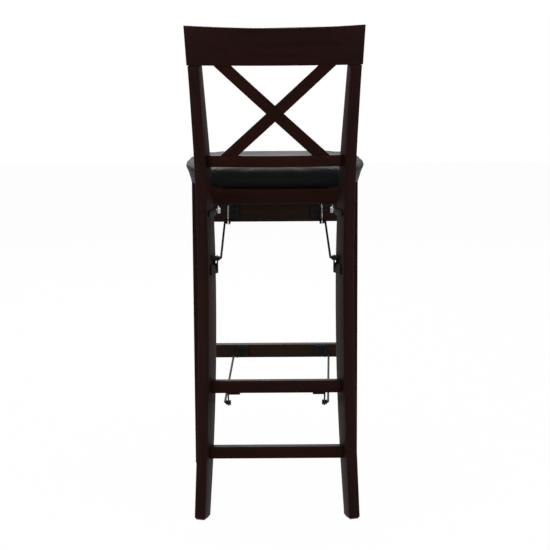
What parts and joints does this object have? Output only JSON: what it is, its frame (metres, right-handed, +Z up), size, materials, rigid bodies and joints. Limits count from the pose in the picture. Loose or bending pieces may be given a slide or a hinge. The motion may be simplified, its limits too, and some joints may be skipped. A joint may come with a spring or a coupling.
{
  "type": "folding bar stool",
  "caption": "Wooden folding bar stool with a bowed crossed back, a padded seat, a footrest and steel rods that link its two leg frames.",
  "frame": {"origin": "centre of the bounding box's bottom face, on the floor under the middle of the stool", "axes": "+Z up, the sitter faces -Y, +X is the sitter's left, the back is on the +Y side"},
  "size_m": [0.404, 0.5426, 1.0665],
  "materials": {
    "dark_wood": "satin espresso stain",
    "red_wood": "satin espresso stain with a red undertone",
    "vinyl": "soft-sheen black vinyl",
    "plywood": "raw plywood",
    "black_steel": "satin black",
    "bright_steel": "zinc plated",
    "nylon": "matt dark brown"
  },
  "bodies": {
    "front_frame": {"front_leg_left": "dark_wood", "front_leg_right": "dark_wood", "front_glide_left": "nylon", "front_glide_right": "nylon", "front_apron": "red_wood", "footrest": "red_wood", "apron_bracket_left": "black_steel", "apron_bracket_right": "black_steel", "apron_screw_1_left": "black_steel", "apron_screw_1_right": "black_steel", "apron_screw_2_left": "black_steel", "apron_screw_2_right": "black_steel", "footrest_bracket_left": "black_steel", "footrest_bracket_right": "black_steel", "footrest_screw_left": "black_steel", "footrest_screw_right": "black_steel", "front_washer_left": "bright_steel", "front_washer_right": "bright_steel"},
    "seat": {"seat_side_rail_left": "dark_wood", "seat_side_rail_right": "dark_wood", "seat_rear_rail": "red_wood", "seat_front_rail": "red_wood", "seat_board": "plywood", "seat_cushion": "vinyl", "seat_hinge_lug_left": "bright_steel", "seat_hinge_lug_right": "bright_steel", "seat_hinge_pin_left": "bright_steel", "seat_hinge_pin_right": "bright_steel", "front_bolt_left": "bright_steel", "front_bolt_right": "bright_steel"},
    "rear_frame": {"rear_post_left": "dark_wood", "rear_post_right": "dark_wood", "rear_glide_left": "nylon", "rear_glide_right": "nylon", "crest_rail": "dark_wood", "lower_back_rail": "red_wood", "back_slat_behind": "red_wood", "back_slat_ahead": "red_wood", "rear_mid_stretcher": "dark_wood", "rear_low_stretcher": "dark_wood", "seat_hinge_plate_left": "black_steel", "seat_hinge_plate_right": "black_steel", "post_rod_bracket_left": "black_steel", "post_rod_bracket_right": "black_steel", "stretcher_bracket_left": "black_steel", "stretcher_bracket_right": "black_steel"},
    "upper_rod_left": {"upper_rod_left": "black_steel"},
    "upper_rod_right": {"upper_rod_right": "black_steel"},
    "lower_rod_left": {"lower_rod_left": "black_steel"},
    "lower_rod_right": {"lower_rod_right": "black_steel"}
  },
  "joints": [
    {"name": "seat_fold", "type": "hinge", "parent": "front_frame", "child": "seat", "pos_m": [0, -0.23485, 0.695], "axis": [1, 0, 0], "range_deg": [0, 85]},
    {"name": "rear_fold", "type": "hinge", "parent": "seat", "child": "rear_frame", "pos_m": [0, 0.12915, 0.667], "axis": [1, 0, 0], "range_deg": [-85, 0]},
    {"name": "upper_rod_left_fold", "type": "hinge", "parent": "front_frame", "child": "upper_rod_left", "pos_m": [0, -0.19885, 0.595], "axis": [1, 0, 0], "range_deg": [0, 85]},
    {"name": "upper_rod_right_fold", "type": "hinge", "parent": "front_frame", "child": "upper_rod_right", "pos_m": [0, -0.19885, 0.595], "axis": [1, 0, 0], "range_deg": [0, 85]},
    {"name": "lower_rod_left_fold", "type": "hinge", "parent": "front_frame", "child": "lower_rod_left", "pos_m": [0, -0.21085, 0.273], "axis": [1, 0, 0], "range_deg": [0, 85]},
    {"name": "lower_rod_right_fold", "type": "hinge", "parent": "front_frame", "child": "lower_rod_right", "pos_m": [0, -0.21085, 0.273], "axis": [1, 0, 0], "range_deg": [0, 85]}
  ],
  "couplings": [
    {"joint": "rear_fold", "follows": "seat_fold", "ratio": -1},
    {"joint": "upper_rod_left_fold", "follows": "seat_fold", "ratio": 1},
    {"joint": "upper_rod_right_fold", "follows": "seat_fold", "ratio": 1},
    {"joint": "lower_rod_left_fold", "follows": "seat_fold", "ratio": 1},
    {"joint": "lower_rod_right_fold", "follows": "seat_fold", "ratio": 1}
  ]
}
